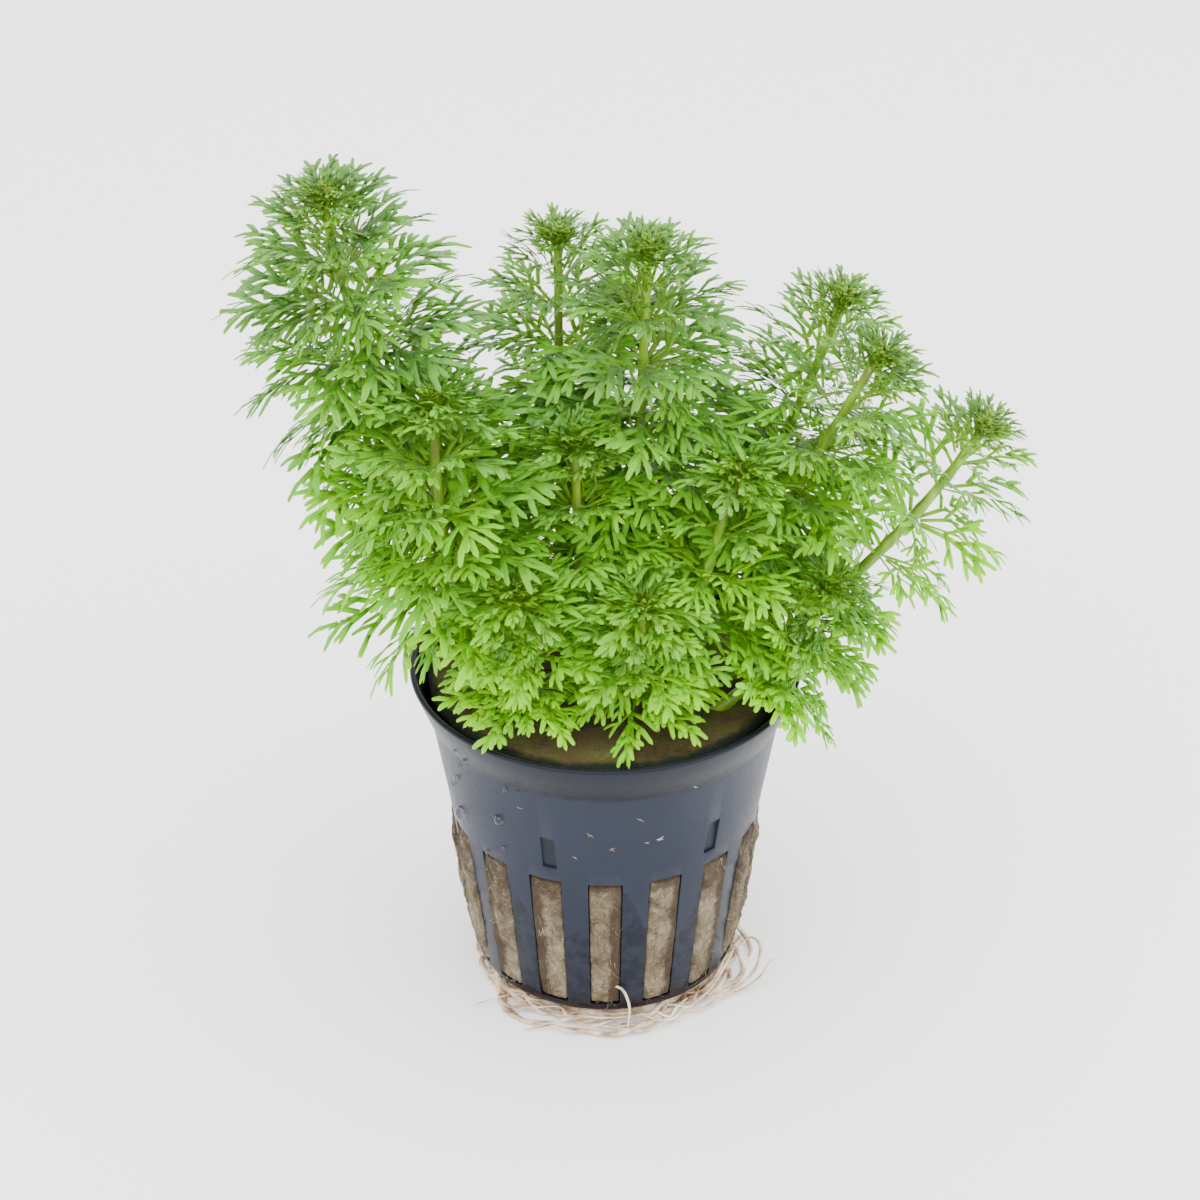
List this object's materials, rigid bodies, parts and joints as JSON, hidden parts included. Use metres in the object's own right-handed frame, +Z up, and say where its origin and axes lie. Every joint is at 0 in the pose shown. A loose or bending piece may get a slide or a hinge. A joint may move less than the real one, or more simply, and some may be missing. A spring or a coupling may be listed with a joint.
{
  "type": "potted dwarf ambulia",
  "caption": "Dwarf ambulia aquarium plant: leafy upright shoots with whorls of finely divided leaves, rooted in a rockwool plug in a slotted plastic net pot.",
  "frame": {"origin": "centre of the flat underside of the root mat, on the pot's axis, where the object rests", "axes": "+Z up along the pot's axis; -Y is the front of the pot as pictured; +X to the right"},
  "size_m": [0.1104, 0.0576, 0.121],
  "materials": {
    "pot_plastic": "satin dark slate-blue moulded plastic",
    "rockwool": "matt matted mineral fibre, damp",
    "roots": "matt pale fibres",
    "stem_green": "smooth moist skin",
    "leaf_green": "smooth soft leaf with a light sheen"
  },
  "bodies": {
    "root": {"leaf_whorl_01_1": "leaf_green", "leaf_whorl_01_2": "leaf_green", "leaf_whorl_01_3": "leaf_green", "leaf_whorl_01_4": "leaf_green", "leaf_whorl_01_5": "leaf_green", "leaf_whorl_01_6": "leaf_green", "leaf_whorl_02_1": "leaf_green", "leaf_whorl_02_2": "leaf_green", "leaf_whorl_02_3": "leaf_green", "leaf_whorl_03_1": "leaf_green", "leaf_whorl_03_2": "leaf_green", "leaf_whorl_03_3": "leaf_green", "leaf_whorl_03_4": "leaf_green", "leaf_whorl_03_5": "leaf_green", "leaf_whorl_05_1": "leaf_green", "leaf_whorl_05_2": "leaf_green", "leaf_whorl_05_3": "leaf_green", "leaf_whorl_06_1": "leaf_green", "leaf_whorl_06_2": "leaf_green", "leaf_whorl_06_3": "leaf_green", "leaf_whorl_07_1": "leaf_green", "leaf_whorl_07_2": "leaf_green", "leaf_whorl_07_3": "leaf_green", "leaf_whorl_07_4": "leaf_green", "leaf_whorl_08_1": "leaf_green", "leaf_whorl_08_2": "leaf_green", "leaf_whorl_08_3": "leaf_green", "leaf_whorl_08_4": "leaf_green", "leaf_whorl_08_5": "leaf_green", "leaf_whorl_09_1": "leaf_green", "leaf_whorl_09_2": "leaf_green", "leaf_whorl_09_3": "leaf_green", "leaf_whorl_10_1": "leaf_green", "leaf_whorl_10_2": "leaf_green", "leaf_whorl_10_3": "leaf_green", "leaf_whorl_11_1": "leaf_green", "leaf_whorl_11_2": "leaf_green", "leaf_whorl_11_3": "leaf_green", "leaf_whorl_12_1": "leaf_green", "leaf_whorl_12_2": "leaf_green", "leaf_whorl_12_3": "leaf_green", "leaf_whorl_13_1": "leaf_green", "leaf_whorl_13_2": "leaf_green", "leaf_whorl_13_3": "leaf_green", "net_pot": "pot_plastic", "rockwool_plug": "rockwool", "root_mat": "roots", "stem_01": "stem_green", "stem_02": "stem_green", "stem_03": "stem_green", "stem_04": "stem_green", "stem_05": "stem_green", "stem_06": "stem_green", "stem_07": "stem_green", "stem_08": "stem_green", "stem_09": "stem_green", "stem_10": "stem_green", "stem_11": "stem_green", "stem_12": "stem_green", "stem_13": "stem_green"}
  },
  "joints": []
}
